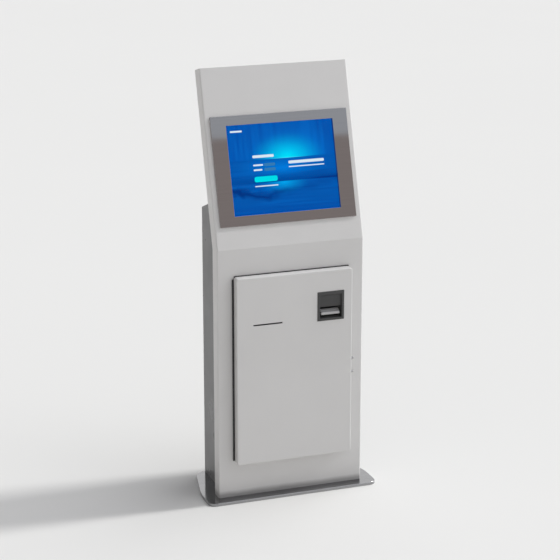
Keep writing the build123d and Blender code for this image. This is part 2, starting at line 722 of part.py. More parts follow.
with BuildPart() as pc_power_button:
    disc(pc_front, button_spot, BUTTON_R, (-PC_FRONT_WALL, 3))
    fillet(pc_power_button.faces().sort_by(Axis.Y)[0].edges(), 1)
    disc(pc_front, button_spot, BUTTON_R + 2, (-PC_FRONT_WALL - 3, -PC_FRONT_WALL - 0.2))
    disc(pc_front, button_spot, BUTTON_R - 1, (-PC_FRONT_WALL - 0.3, -PC_FRONT_WALL + 0.2))
finish(pc_power_button.part, "pc_power_button")

SUPPLY_X = (90.0, 205.0)
SUPPLY_Y = (20.0, 128.0)
SUPPLY_Z = (SHELF_Z, SHELF_Z + 52.0)
TERMINAL_DEPTH = 14.0            # step at the front that holds the terminal row
TERMINAL_Z = (SHELF_Z + 30, SHELF_Z + 42)
TERMINALS = 7
with BuildPart() as power_supply:
    block(SUPPLY_X, SUPPLY_Y, SUPPLY_Z)
    with BuildSketch(Plane.XY.offset(SUPPLY_Z[1])) as supply_vents:
        with Locations((sum(SUPPLY_X) / 2, sum(SUPPLY_Y) / 2 + 10)):
            with HexLocations(5, 9, 8):
                Circle(2.6)
    extrude(supply_vents.sketch, amount=-2, mode=Mode.SUBTRACT)
    block(
        (SUPPLY_X[0] + 6, SUPPLY_X[1] - 6),
        (SUPPLY_Y[0], SUPPLY_Y[0] + TERMINAL_DEPTH),
        (TERMINAL_Z[0], SUPPLY_Z[1]),
        Mode.SUBTRACT,
    )
    for terminal in range(TERMINALS):
        terminal_x = SUPPLY_X[0] + 12 + 13 * terminal
        terminal_y = (SUPPLY_Y[0] + 2, SUPPLY_Y[0] + TERMINAL_DEPTH)
        block((terminal_x, terminal_x + 10), terminal_y, TERMINAL_Z)
finish(power_supply.part, "power_supply")

STRIP_X = (-228.0, -192.0)
STRIP_Y = (70.0, 115.0)
STRIP_Z = (400.0, 660.0)
OUTLETS = 4
OUTLET_R = 17.0
OUTLET_DEPTH = 12.0
CONTACT_HALF_PITCH = 9.5
with BuildPart() as power_strip:
    block(STRIP_X, STRIP_Y, STRIP_Z)
    fillet(power_strip.edges().group_by(Axis.X)[-1], 3)
    strip_face = Plane.YZ.offset(STRIP_X[1])
    outlet_y = sum(STRIP_Y) / 2
    for outlet in range(OUTLETS):
        outlet_z = STRIP_Z[0] + 35 + 60 * outlet
        disc(strip_face, (outlet_y, outlet_z), OUTLET_R, (-OUTLET_DEPTH, 0), Mode.SUBTRACT)
        for contact in (-CONTACT_HALF_PITCH, CONTACT_HALF_PITCH):
            contact_spot = (outlet_y + contact, outlet_z)
            contact_depth = (-OUTLET_DEPTH - 4, -OUTLET_DEPTH)
            disc(strip_face, contact_spot, 2.4, contact_depth, Mode.SUBTRACT)
finish(power_strip.part, "power_strip")

# Leads inside the cabinet: radius, radius of the bends and the corners of each route
WALL_LEAD_X = 221.0
CHASSIS_ENTRY_S = 125.0
MAINS_X = (INLET_X[1] - 10, sum(STRIP_X) / 2)
MAINS_FRONT_Y = -56.0            # the mains lead crosses over in front of the power strip
MAINS_DIP = 60.0                 # and turns up this far below it
SUPPLY_LEAD_Y = SUPPLY_Y[0] + 8
SIGNAL_LEAD_Y = 60.0
HEAD_RUN_Z = (905.0, 920.0)      # heights of the power and signal leads on their way to the middle
HEAD_RUN_X = (60.0, -40.0)       # where they enter the monitor chassis
HEAD_RUN_DEPTH = 80.0
CHASSIS_BACK = FASCIA_DEPTH - 1.5
LEADS = [
    (3.5, 28.0, [                # mains, from the inlet to the power strip
        (MAINS_X[0], HOUSING_REAR_Y - INLET_DEPTH, INLET_MID_Z),
        (MAINS_X[0], MAINS_FRONT_Y, INLET_MID_Z),
        (MAINS_X[1], MAINS_FRONT_Y, INLET_MID_Z),
        (MAINS_X[1], MAINS_FRONT_Y, STRIP_Z[0] - MAINS_DIP),
        (MAINS_X[1], sum(STRIP_Y) / 2, STRIP_Z[0] - MAINS_DIP),
        (MAINS_X[1], sum(STRIP_Y) / 2, STRIP_Z[0]),
    ]),
    (2.5, 20.0, [                # display power, from the supply to the monitor
        (SUPPLY_X[1] - 18, SUPPLY_LEAD_Y, TERMINAL_Z[1]),
        (SUPPLY_X[1] - 18, SUPPLY_LEAD_Y, TERMINAL_Z[1] + 35),
        (WALL_LEAD_X, SUPPLY_LEAD_Y, TERMINAL_Z[1] + 75),
        (WALL_LEAD_X, SUPPLY_LEAD_Y, HEAD_RUN_Z[0]),
        (HEAD_RUN_X[0], SIGNAL_LEAD_Y, HEAD_RUN_Z[0]),
        (HEAD_RUN_X[0], *on_head(CHASSIS_ENTRY_S, HEAD_RUN_DEPTH)),
        (HEAD_RUN_X[0], *on_head(CHASSIS_ENTRY_S, CHASSIS_BACK)),
    ]),
    (3.0, 24.0, [                # picture signal, from the computer to the monitor
        (PC_X[0], SIGNAL_LEAD_Y, PC_Z[0] + 30),
        (-WALL_LEAD_X, SIGNAL_LEAD_Y, PC_Z[0] + 30),
        (-WALL_LEAD_X, SIGNAL_LEAD_Y, HEAD_RUN_Z[1]),
        (HEAD_RUN_X[1], SIGNAL_LEAD_Y, HEAD_RUN_Z[1]),
        (HEAD_RUN_X[1], *on_head(CHASSIS_ENTRY_S, HEAD_RUN_DEPTH)),
        (HEAD_RUN_X[1], *on_head(CHASSIS_ENTRY_S, CHASSIS_BACK)),
    ]),
]

with BuildPart() as internal_leads:
    for lead_r, bend_r, route in LEADS:
        with BuildLine() as centre_line:
            FilletPolyline(*route, radius=bend_r)
        with BuildSketch(Plane(origin=centre_line.line @ 0, z_dir=centre_line.line % 0)):
            Circle(lead_r)
        sweep(path=centre_line.line)
finish(internal_leads.part, "internal_leads")

with BuildPart() as cabinet_screws:
    for x, y in SCREW_SPOTS:
        with BuildSketch(Plane.XY.offset(FLOOR_Z + SHEET)) as screw_head:
            with Locations((x, y)):
                RegularPolygon(4.6, 6)
        extrude(screw_head.sketch, amount=3.6)
        disc(Plane.XY, (x, y), 2.5, (3, FLOOR_Z + SHEET))
finish(cabinet_screws.part, "cabinet_screws")

# ---------------------------------------------------------------- front door
LOCK_CAM_X = (194.2, 197.2)
CAM_SLOT_X = (LOCK_CAM_X[0] - 1.5, LOCK_CAM_X[1] + 1.5)
CAM_SLOT_BELOW = 35.0            # the cams reach this far below their axis, with clearance
CAM_SLOT_ABOVE = 8.0
BARREL_R = 6.0

with BuildPart() as door_skin:
    block(DOOR_X, (DOOR_FRONT_Y, DOOR_BACK_Y), DOOR_Z)
    fillet(door_skin.edges().filter_by(Axis.Y), 8)
    fillet(door_skin.faces().sort_by(Axis.Y)[0].edges(), 3)
    slab(
        front_plane(DOOR_FRONT_Y),
        (DOOR_X[0] + SHEET, DOOR_X[1] - SHEET),
        (DOOR_Z[0] + SHEET, DOOR_Z[1] - SHEET),
        (-DOOR_DEPTH + SHEET, -SHEET),
        6,
        Mode.SUBTRACT,
    )
    slab(
        front_plane(DOOR_FRONT_Y),
        (DOOR_X[0] + SHEET + DOOR_RETURN, DOOR_X[1] - SHEET - DOOR_RETURN),
        (DOOR_Z[0] + SHEET + DOOR_RETURN, DOOR_Z[1] - SHEET - DOOR_RETURN),
        (-DOOR_DEPTH, -SHEET),
        4,
        Mode.SUBTRACT,
    )
    slab(front_plane(DOOR_FRONT_Y), SLOT_X, SLOT_Z, (-SHEET, 0), mode=Mode.SUBTRACT)
    slab(
        front_plane(DOOR_FRONT_Y),
        (ACCEPTOR_X[0] + 4, ACCEPTOR_X[1] - 4),
        (ACCEPTOR_Z[0] + 4, ACCEPTOR_Z[1] - 4),
        (-SHEET, 0),
        mode=Mode.SUBTRACT,
    )
    for lock_z in LOCK_Z.values():
        disc(
            Plane.YZ.offset(DOOR_X[1]),
            (DOOR_MID_Y, lock_z),
            BARREL_R + 0.2,
            (-SHEET, 0),
            Mode.SUBTRACT,
        )
        block(
            CAM_SLOT_X,
            (DOOR_BACK_Y - SHEET - 0.1, DOOR_BACK_Y + 0.1),
            (lock_z - CAM_SLOT_BELOW, lock_z + CAM_SLOT_ABOVE),
            Mode.SUBTRACT,
        )
finish(door_skin.part, "door_skin")

PRINTER_HOLE = ((-152.0, -37.0), (556.0, 724.0))
ACCEPTOR_HOLE = ((89.0, 171.0), (594.0, 726.0))
RIB_X = (-140.0, 150.0)
RIB_FEET_Z = (230.0, 320.0)
RIB_HEIGHT = 24.0
RIB_DEPTH = 12.0
with BuildPart() as door_inner_panel:
    pan_plane = front_plane(PAN_Y[1])
    slab(
        pan_plane,
        (DOOR_X[0] + 4, DOOR_X[1] - 4),
        (DOOR_Z[0] + 4, DOOR_Z[1] - 4),
        (0, PAN_T),
        5,
    )
    for hole_x, hole_z in (PRINTER_HOLE, ACCEPTOR_HOLE):
        slab(pan_plane, hole_x, hole_z, (0, 2), 3, Mode.SUBTRACT)
    for lock_z in LOCK_Z.values():
        block(
            CAM_SLOT_X,
            (PAN_Y[0] - 1, PAN_Y[1] + 1),
            (lock_z - CAM_SLOT_BELOW, lock_z + CAM_SLOT_ABOVE),
            Mode.SUBTRACT,
        )
    for rib_z in RIB_FEET_Z:
        slab(pan_plane, RIB_X, (rib_z, rib_z + RIB_HEIGHT), (PAN_T, PAN_T + RIB_DEPTH), 2)
        slab(
            pan_plane,
            (RIB_X[0] + PAN_T, RIB_X[1] - PAN_T),
            (rib_z + PAN_T, rib_z + RIB_HEIGHT - PAN_T),
            (0, RIB_DEPTH),
            1,
            Mode.SUBTRACT,
        )
finish(door_inner_panel.part, "door_inner_panel")

# ---------------------------------------------------------------- continuous hinge
KNUCKLES = 25
KNUCKLE_PITCH = (HINGE_Z[1] - HINGE_Z[0]) / KNUCKLES
LEAF_T = 1.2
LEAF_END_X = DOOR_X[0] + SHEET + DOOR_RETURN


def hinge_leaf(leaf_y, first):
    """Leaf of the continuous hinge with every second knuckle, from the given one."""
    block((HINGE_X, LEAF_END_X), leaf_y, HINGE_Z)
    disc(Plane.XY, (HINGE_X, HINGE_Y), HINGE_R + 0.4, HINGE_Z, Mode.SUBTRACT)
    for knuckle in range(first, KNUCKLES, 2):
        foot = HINGE_Z[0] + KNUCKLE_PITCH * knuckle + 0.25
        head = foot + KNUCKLE_PITCH - 0.5
        disc(Plane.XY, (HINGE_X, HINGE_Y), HINGE_R, (foot, head))
        block((HINGE_X, HINGE_X + HINGE_R + 1.2), leaf_y, (foot, head))
    disc(Plane.XY, (HINGE_X, HINGE_Y), HINGE_PIN_R + 0.05, HINGE_Z, Mode.SUBTRACT)


with BuildPart() as hinge_fixed_leaf:
    hinge_leaf((FRONT_Y - LEAF_T, FRONT_Y), 0)
finish(hinge_fixed_leaf.part, "hinge_fixed_leaf")

with BuildPart() as hinge_moving_leaf:
    hinge_leaf((DOOR_BACK_Y, DOOR_BACK_Y + LEAF_T), 1)
finish(hinge_moving_leaf.part, "hinge_moving_leaf")

with BuildPart() as hinge_pin:
    disc(Plane.XY, (HINGE_X, HINGE_Y), HINGE_PIN_R, (HINGE_Z[0] - 1.5, HINGE_Z[1] + 1.5))
    chamfer(hinge_pin.faces().filter_by(Axis.Z).edges(), 0.4)
finish(hinge_pin.part, "hinge_pin")

# ---------------------------------------------------------------- door locks
PLUG_R = 4.0
CAM_BORE_R = 3.0
BARREL_END_X = 199.0
ROSETTE_X = (DOOR_X[1], DOOR_X[1] + 2.0)
KNOB_X = (ROSETTE_X[1] + 0.2, ROSETTE_X[1] + 9.0)
NUT_T = 3.5
HOOK_REACH = (23.3, 31.3)        # from the lock's axis to the hook's two faces
HOOK_TIP = 12.0

with BuildPart() as lock_barrels:
    for lock_z in LOCK_Z.values():
        lock_axis = (DOOR_MID_Y, lock_z)
        disc(Plane.YZ, lock_axis, BARREL_R, (BARREL_END_X, DOOR_X[1]))
        disc(Plane.YZ, lock_axis, BARREL_R + 1.2, ROSETTE_X)
        disc(Plane.YZ, lock_axis, PLUG_R + 0.05, (BARREL_END_X, ROSETTE_X[1]), Mode.SUBTRACT)
finish(lock_barrels.part, "lock_barrels")

with BuildPart() as lock_nuts:
    for lock_z in LOCK_Z.values():
        with BuildSketch(Plane.YZ.offset(DOOR_X[1] - SHEET - NUT_T)) as nut_outline:
            with Locations((DOOR_MID_Y, lock_z)):
                RegularPolygon(9.5, 6)
                Circle(BARREL_R, mode=Mode.SUBTRACT)
        extrude(nut_outline.sketch, amount=NUT_T)
finish(lock_nuts.part, "lock_nuts")

for lock_name, lock_z in LOCK_Z.items():
    lock_axis = (DOOR_MID_Y, lock_z)
    with BuildPart() as lock_plug:
        disc(Plane.YZ, lock_axis, PLUG_R, (LOCK_CAM_X[1], KNOB_X[0]))
        disc(Plane.YZ, lock_axis, CAM_BORE_R, (LOCK_CAM_X[0] - 2.5, LOCK_CAM_X[1]))
        disc(Plane.YZ, lock_axis, PLUG_R + 0.8, (LOCK_CAM_X[0] - 2.5, LOCK_CAM_X[0]))
        disc(Plane.YZ, lock_axis, PLUG_R + 1.2, KNOB_X)
        fillet(lock_plug.faces().sort_by(Axis.X)[-1].edges(), 1)
        key_y = (DOOR_MID_Y - 0.7, DOOR_MID_Y + 0.7)
        key_z = (lock_z - 3.4, lock_z + 3.4)
        block((KNOB_X[0] + 2, KNOB_X[1] + 1), key_y, key_z, Mode.SUBTRACT)
    finish(lock_plug.part, f"lock_plug_{lock_name}")

    with BuildPart() as lock_cam:
        tip_y = (DOOR_MID_Y - 5, DOOR_MID_Y + HOOK_TIP)
        disc(Plane.YZ, lock_axis, 7.0, LOCK_CAM_X)
        block(LOCK_CAM_X, (DOOR_MID_Y - 5, DOOR_MID_Y + 4), (lock_z - HOOK_REACH[1], lock_z))
        block(LOCK_CAM_X, tip_y, (lock_z - HOOK_REACH[1], lock_z - HOOK_REACH[0]))
        hook_edges = lock_cam.edges().filter_by(Axis.X).group_by(Axis.Z)[0]
        fillet(hook_edges, 2.5)
        disc(Plane.YZ, lock_axis, CAM_BORE_R, LOCK_CAM_X, Mode.SUBTRACT)
    finish(lock_cam.part, f"lock_cam_{lock_name}")

# ---------------------------------------------------------------- banknote acceptor
THROAT_X = (96.5, 164.5)
THROAT_Z = (653.0, 660.0)
BEZEL_FRONT_Y = DOOR_FRONT_Y - 2.0
BEZEL_WALL_Y = (-121.0, -117.0)
BEZEL_RIM = 4.3
FACE_PLATE_Y = -138.5            # plain plate of the bezel above the throat
LIP_X = (97.0, 164.0)
LIP_Z = (635.5, 646.0)
LIP_REACH = 19.0

with BuildPart() as acceptor_bezel:
    slab(front_plane(DOOR_FRONT_Y), ACCEPTOR_X, ACCEPTOR_Z, (0, 2), 1.5)
    chamfer(acceptor_bezel.faces().sort_by(Axis.Y)[0].edges(), 0.8)
    block(
        (ACCEPTOR_X[0] + BEZEL_RIM, ACCEPTOR_X[1] - BEZEL_RIM),
        (DOOR_FRONT_Y, BEZEL_WALL_Y[1]),
        (ACCEPTOR_Z[0] + BEZEL_RIM, ACCEPTOR_Z[1] - BEZEL_RIM),
    )
    recess = [
        (BEZEL_FRONT_Y - 1, ACCEPTOR_Z[1] - 10.5),
        (FACE_PLATE_Y, ACCEPTOR_Z[1] - 15.0),
        (FACE_PLATE_Y + 1.5, THROAT_Z[1] + 4.0),
        (BEZEL_WALL_Y[0], THROAT_Z[1] + 0.5),
        (BEZEL_WALL_Y[0], ACCEPTOR_Z[0] + 14.0),
        (BEZEL_FRONT_Y - 1, ACCEPTOR_Z[0] + 7.5),
    ]
    add(side_profile(recess, (91.0, 169.5)), mode=Mode.SUBTRACT)
    block(THROAT_X, (BEZEL_WALL_Y[0] - 1, BEZEL_WALL_Y[1] + 1), THROAT_Z, Mode.SUBTRACT)
finish(acceptor_bezel.part, "acceptor_bezel")

with BuildPart() as acceptor_lip:
    block(LIP_X, (BEZEL_WALL_Y[0] - LIP_REACH, BEZEL_WALL_Y[0]), LIP_Z)
    lip_nose = acceptor_lip.edges().filter_by(Axis.X).group_by(Axis.Y)[0]
    fillet(lip_nose, 4)
    lip_corners = acceptor_lip.edges().filter_by(Axis.Z).group_by(Axis.Y)[0]
    fillet(lip_corners, 3)
    note_ramp = [
        (BEZEL_WALL_Y[0] - 12.0, LIP_Z[1]),
        (BEZEL_WALL_Y[0], LIP_Z[1]),
        (BEZEL_WALL_Y[0], THROAT_Z[0]),
    ]
    add(side_profile(note_ramp, LIP_X))
finish(acceptor_lip.part, "acceptor_lip")

BODY_X = (92.0, 164.0)
BODY_REAR_Y = -24.0
BODY_Z = (600.0, 722.0)
SEAM_DEPTH = 0.7
with BuildPart() as acceptor_body:
    block(BODY_X, (BEZEL_WALL_Y[1], BODY_REAR_Y), BODY_Z)
    chamfer(acceptor_body.edges().filter_by(Axis.X).group_by(Axis.Y)[-1], 9)
    fillet(acceptor_body.edges().filter_by(Axis.Y), 2)
    block((94.5, 161.5), (BEZEL_WALL_Y[1] - 1, -42), THROAT_Z, Mode.SUBTRACT)
    for seam_y in (-88, -52):
        for flank in ((BODY_X[0] - 1, BODY_X[0] + SEAM_DEPTH), (BODY_X[1] - SEAM_DEPTH, BODY_X[1] + 1)):
            block(flank, (seam_y, seam_y + 1), (BODY_Z[0] + 4, BODY_Z[1] - 4), Mode.SUBTRACT)
    block((112, 144), (BODY_REAR_Y - 0.5, BODY_REAR_Y + 2), (610, 622))
    block((114, 142), (BODY_REAR_Y - 1, BODY_REAR_Y + 3), (612, 620), Mode.SUBTRACT)
finish(acceptor_body.part, "acceptor_body")

CRADLE_X = (93.0, 163.0)
CRADLE_Z = (436.0, 593.0)
CRADLE_REAR_Y = -40.0
with BuildPart() as cash_box_cradle:
    block(CRADLE_X, (PAN_Y[1], CRADLE_REAR_Y), CRADLE_Z)
    block(
        (CRADLE_X[0] + PAN_T, CRADLE_X[1] - PAN_T),
        (PAN_Y[1] + PAN_T, CRADLE_REAR_Y + 1),
        (CRADLE_Z[0] + PAN_T, CRADLE_Z[1] + 1),
        Mode.SUBTRACT,
    )
    for tab_x in ((CRADLE_X[0] - 14, CRADLE_X[0]), (CRADLE_X[1], CRADLE_X[1] + 12)):
        block(tab_x, (PAN_Y[1], PAN_Y[1] + PAN_T), (470, 560))
finish(cash_box_cradle.part, "cash_box_cradle")

BOX_X = (CRADLE_X[0] + 2.1, CRADLE_X[1] - 2.1)
BOX_Y = (PAN_Y[1] + 2.1, -28.0)
BOX_Z = (CRADLE_Z[0] + 2.1, CRADLE_Z[1] - 2.0)
BOX_WALL = 2.0
BOX_REAR_WALL = 3.0
BOX_MID_X = sum(BOX_X) / 2
NOTE_SLOT_X = (BOX_MID_X - 28.0, BOX_MID_X + 28.0)
BOX_LOCK_Z = 470.0
BOX_LOCK_R = 6.0
with BuildPart() as cash_box:
    block(BOX_X, BOX_Y, BOX_Z)
    fillet(cash_box.edges().filter_by(Axis.Y), 3)
    block(
        (BOX_X[0] + BOX_WALL, BOX_X[1] - BOX_WALL),
        (BOX_Y[0] + BOX_WALL, BOX_Y[1] - BOX_REAR_WALL),
        (BOX_Z[0] + BOX_WALL, BOX_Z[1] - BOX_WALL),
        Mode.SUBTRACT,
    )
    block(
        NOTE_SLOT_X,
        (BOX_Y[0] + 20, BOX_Y[0] + 28),
        (BOX_Z[1] - BOX_WALL - 1, BOX_Z[1] + 1),
        Mode.SUBTRACT,
    )
    box_lock_spot = (BOX_MID_X, -BOX_LOCK_Z)
    box_rear = rear_plane(BOX_Y[1])
    disc(box_rear, box_lock_spot, BOX_LOCK_R + 0.1, (-BOX_REAR_WALL, 0), Mode.SUBTRACT)
finish(cash_box.part, "cash_box")

with BuildPart() as cash_box_lock:
    disc(box_rear, box_lock_spot, BOX_LOCK_R, (-12, 0))
    disc(box_rear, box_lock_spot, BOX_LOCK_R + 1.5, (0, 2))
    block(
        (BOX_MID_X - 0.7, BOX_MID_X + 0.7),
        (BOX_Y[1] - 6, BOX_Y[1] + 3),
        (BOX_LOCK_Z - 3.5, BOX_LOCK_Z + 3.5),
        Mode.SUBTRACT,
    )
finish(cash_box_lock.part, "cash_box_lock")

HANDLE_Z = (505.0, 577.0)
HANDLE_BAR = 6.0
HANDLE_REACH = 16.0
HANDLE_WIDTH = 10.0
with BuildPart() as cash_box_handle:
    with BuildSketch(Plane.YZ.offset(BOX_MID_X - HANDLE_WIDTH / 2)) as handle_outline:
        with BuildLine():
            FilletPolyline(
                (BOX_Y[1], HANDLE_Z[0]),
                (BOX_Y[1] + HANDLE_REACH, HANDLE_Z[0]),
                (BOX_Y[1] + HANDLE_REACH, HANDLE_Z[1]),
                (BOX_Y[1], HANDLE_Z[1]),
                (BOX_Y[1], HANDLE_Z[1] - HANDLE_BAR),
                (BOX_Y[1] + HANDLE_REACH - HANDLE_BAR, HANDLE_Z[1] - HANDLE_BAR),
                (BOX_Y[1] + HANDLE_REACH - HANDLE_BAR, HANDLE_Z[0] + HANDLE_BAR),
                (BOX_Y[1], HANDLE_Z[0] + HANDLE_BAR),
                radius=[0, 6, 6, 0, 0, 3, 3, 0],
                close=True,
            )
        make_face()
    extrude(handle_outline.sketch, amount=HANDLE_WIDTH)
finish(cash_box_handle.part, "cash_box_handle")

# ---------------------------------------------------------------- receipt printer
PLATE_X = ((-150.0, -148.5), (-40.5, -39.0))
ROLL_Y = -50.0
ROLL_Z = 664.0
ROLL_R = 40.0
SPINDLE_R = 6.4
PLATEN_Y = -108.0
PLATEN_Z = 614.6
PLATEN_R = 7.6
LID_Y = -96.0
LID_Z = 714.5

PLATEN_AXLE_R = 3.0
LID_PIN_R = 1.5
FRAME_REAR_Y = -8.0
FRAME_Z = (560.0, 711.0)
MECHANISM_X = (-147.0, -42.0)
MECHANISM_Z = (600.0, 652.0)
PAPER_PATH_X = (-144.0, -45.0)
PAPER_PATH_Z = (622.6, 629.8)
ROLL_X = (-134.5, -54.5)
LID_X = (-148.2, -40.8)
LID_T = 1.5

with BuildPart() as printer_frame:
    for plate in PLATE_X:
        block(plate, (PAN_Y[1], FRAME_REAR_Y), FRAME_Z)
        block(plate, (LID_Y - 5, LID_Y + 5), (FRAME_Z[1], FRAME_Z[1] + 8))
    tray_z = (FRAME_Z[0], FRAME_Z[0] + PAN_T)
    block((PLATE_X[0][0], PLATE_X[1][1]), (PAN_Y[1], FRAME_REAR_Y), tray_z)
    for tab_x in ((PLATE_X[0][0] - 15, PLATE_X[0][0]), (PLATE_X[1][1], PLATE_X[1][1] + 15)):
        block(tab_x, (PAN_Y[1], PAN_Y[1] + PAN_T), (575, 700))
    for axis, radius in (((LID_Y, LID_Z), LID_PIN_R), ((PLATEN_Y, PLATEN_Z), PLATEN_AXLE_R)):
        disc(Plane.YZ, axis, radius + 0.05, (-151, -38), Mode.SUBTRACT)
finish(printer_frame.part, "printer_frame")

with BuildPart() as print_mechanism:
    block(MECHANISM_X, (DOOR_FRONT_Y + SHEET, -94), MECHANISM_Z)
    chamfer(print_mechanism.edges().filter_by(Axis.X).group_by(Axis.Z)[-1], 6)
    block(PAPER_PATH_X, (DOOR_FRONT_Y + 1, -93), PAPER_PATH_Z, Mode.SUBTRACT)
    platen_axis = (PLATEN_Y, PLATEN_Z)
    disc(Plane.YZ, platen_axis, PLATEN_R + 0.3, PAPER_PATH_X, Mode.SUBTRACT)
    disc(Plane.YZ, platen_axis, PLATEN_AXLE_R + 0.05, (-148, -41), Mode.SUBTRACT)
finish(print_mechanism.part, "print_mechanism")

with BuildPart() as platen_roller:
    disc(Plane.YZ, platen_axis, PLATEN_R, (PAPER_PATH_X[0] + 0.5, PAPER_PATH_X[1] - 0.5))
    disc(Plane.YZ, platen_axis, PLATEN_AXLE_R, (-152, -37))
finish(platen_roller.part, "platen_roller")

roll_axis = (ROLL_Y, ROLL_Z)
with BuildPart() as paper_spindle:
    disc(Plane.YZ, roll_axis, SPINDLE_R, (PLATE_X[0][1], PLATE_X[1][0]))
finish(paper_spindle.part, "paper_spindle")

with BuildPart() as paper_roll:
    disc(Plane.YZ, roll_axis, ROLL_R, ROLL_X)
    disc(Plane.YZ, roll_axis, SPINDLE_R + 0.08, ROLL_X, Mode.SUBTRACT)
finish(paper_roll.part, "paper_roll")

LID_TOP_Z = LID_Z + 0.5
LID_REAR_Y = FRAME_REAR_Y
with BuildPart() as printer_lid:
    block(LID_X, (LID_Y, LID_REAR_Y - 1), (LID_TOP_Z - LID_T, LID_TOP_Z))
    block(LID_X, (LID_REAR_Y - LID_T, LID_REAR_Y), (LID_Z - 26, LID_TOP_Z))
    disc(Plane.YZ, (LID_Y, LID_Z), 2.5, LID_X)
    disc(Plane.YZ, (LID_Y, LID_Z), LID_PIN_R, (PLATE_X[0][0] - 0.4, PLATE_X[1][1] + 0.4))
finish(printer_lid.part, "printer_lid")
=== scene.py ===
import json
import math

import bpy
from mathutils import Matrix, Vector


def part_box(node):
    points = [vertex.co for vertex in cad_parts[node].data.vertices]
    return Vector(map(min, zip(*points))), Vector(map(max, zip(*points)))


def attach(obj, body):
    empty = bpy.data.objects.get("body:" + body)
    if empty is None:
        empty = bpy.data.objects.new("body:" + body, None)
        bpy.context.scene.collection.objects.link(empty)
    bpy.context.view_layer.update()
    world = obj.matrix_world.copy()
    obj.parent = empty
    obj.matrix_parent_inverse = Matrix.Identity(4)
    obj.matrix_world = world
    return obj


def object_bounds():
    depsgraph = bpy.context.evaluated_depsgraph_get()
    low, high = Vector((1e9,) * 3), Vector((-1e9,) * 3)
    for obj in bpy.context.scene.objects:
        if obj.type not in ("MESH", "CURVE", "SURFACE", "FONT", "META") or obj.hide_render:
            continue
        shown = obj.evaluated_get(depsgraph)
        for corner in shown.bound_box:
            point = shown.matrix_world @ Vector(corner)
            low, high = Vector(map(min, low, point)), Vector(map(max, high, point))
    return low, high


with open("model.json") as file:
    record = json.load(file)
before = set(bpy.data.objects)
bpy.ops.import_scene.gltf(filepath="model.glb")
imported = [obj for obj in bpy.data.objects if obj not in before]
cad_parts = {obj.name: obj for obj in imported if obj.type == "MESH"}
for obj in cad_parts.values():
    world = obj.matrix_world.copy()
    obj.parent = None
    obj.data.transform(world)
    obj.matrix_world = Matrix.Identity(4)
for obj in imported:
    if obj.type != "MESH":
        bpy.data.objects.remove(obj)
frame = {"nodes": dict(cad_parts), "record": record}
CAD_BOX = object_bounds()
NODES = frame["nodes"]
SLOT_OF = {row["node"]: row["material_slot"] for row in frame["record"]["subparts"]}

MM = 0.001
VIEW_AZIMUTH = math.radians(-20.04)
VIEW_ELEVATION = math.radians(16.36)
VIEW_DISTANCE = 6.4855
LENS = 122.5
SENSOR_WIDTH = 36.0


# ---------------------------------------------------------------- node helpers
class NodeTree:
    """Short calls that add and link shader nodes."""

    def __init__(self, tree, coordinate):
        self.tree = tree
        self.position = self.add("ShaderNodeTexCoord").outputs[coordinate]

    def add(self, kind, **settings):
        """New node, with attributes by name and inputs given as {socket: value}."""
        inputs = settings.pop("inputs", {})
        node = self.tree.nodes.new(kind)
        for key, value in settings.items():
            setattr(node, key, value)
        for key, value in inputs.items():
            self.feed(node.inputs[key], value)
        return node

    def feed(self, socket, value):
        """Link a socket to another, or set its constant."""
        if isinstance(value, bpy.types.NodeSocket):
            self.tree.links.new(value, socket)
        else:
            socket.default_value = value

    def stretched(self, x, y, z):
        """Object position scaled along each axis."""
        node = self.add("ShaderNodeMapping", inputs={"Vector": self.position})
        node.inputs["Scale"].default_value = (x, y, z)
        return node.outputs["Vector"]

    def noise(self, scale, detail=3.0, roughness=0.55, vector=None):
        node = self.add(
            "ShaderNodeTexNoise",
            inputs={
                "Vector": vector or self.position,
                "Scale": scale,
                "Detail": detail,
                "Roughness": roughness,
            },
        )
        return node.outputs["Fac"]

    def cells(self, scale, vector=None):
        node = self.add(
            "ShaderNodeTexVoronoi",
            inputs={"Vector": vector or self.position, "Scale": scale},
        )
        return node

    def math(self, operation, a, b=0.0, c=0.0):
        node = self.add("ShaderNodeMath", operation=operation)
        for socket, value in zip(node.inputs, (a, b, c)):
            self.feed(socket, value)
        return node.outputs[0]

    def split(self):
        """The position's X, Y and Z."""
        return self.add("ShaderNodeSeparateXYZ", inputs={"Vector": self.position}).outputs

    def remap(self, value, low, high, to_low, to_high):
        node = self.add(
            "ShaderNodeMapRange",
            inputs={
                "Value": value,
                "From Min": low,
                "From Max": high,
                "To Min": to_low,
                "To Max": to_high,
            },
        )
        return node.outputs["Result"]

    def blend(self, factor, a, b, mode="MIX"):
        node = self.add("ShaderNodeMix", data_type="RGBA", blend_type=mode)
        self.feed(node.inputs["Factor"], factor)
        for socket, value in ((node.inputs[6], a), (node.inputs[7], b)):
            self.feed(socket, value if isinstance(value, bpy.types.NodeSocket) else rgba(value))
        return node.outputs[2]

    def bump(self, height, distance, strength=1.0, normal=None):
        node = self.add(
            "ShaderNodeBump",
            inputs={"Height": height, "Distance": distance, "Strength": strength},
        )
        if normal is not None:
            self.feed(node.inputs["Normal"], normal)
        return node.outputs["Normal"]

    def soft_edges(self, radius):
        """Normal that rounds the sharp edges off."""
        node = self.add("ShaderNodeBevel", samples=6, inputs={"Radius": radius})
        return node.outputs["Normal"]

    def edge_mask(self, radius):
        """1 on outer and inner edges within a radius, 0 on the flats."""
        flat = self.add("ShaderNodeNewGeometry").outputs["Normal"]
        dot = self.add("ShaderNodeVectorMath", operation="DOT_PRODUCT")
        self.feed(dot.inputs[0], self.soft_edges(radius))
        self.feed(dot.inputs[1], flat)
        return self.remap(dot.outputs["Value"], 0.995, 0.8, 0.0, 1.0)


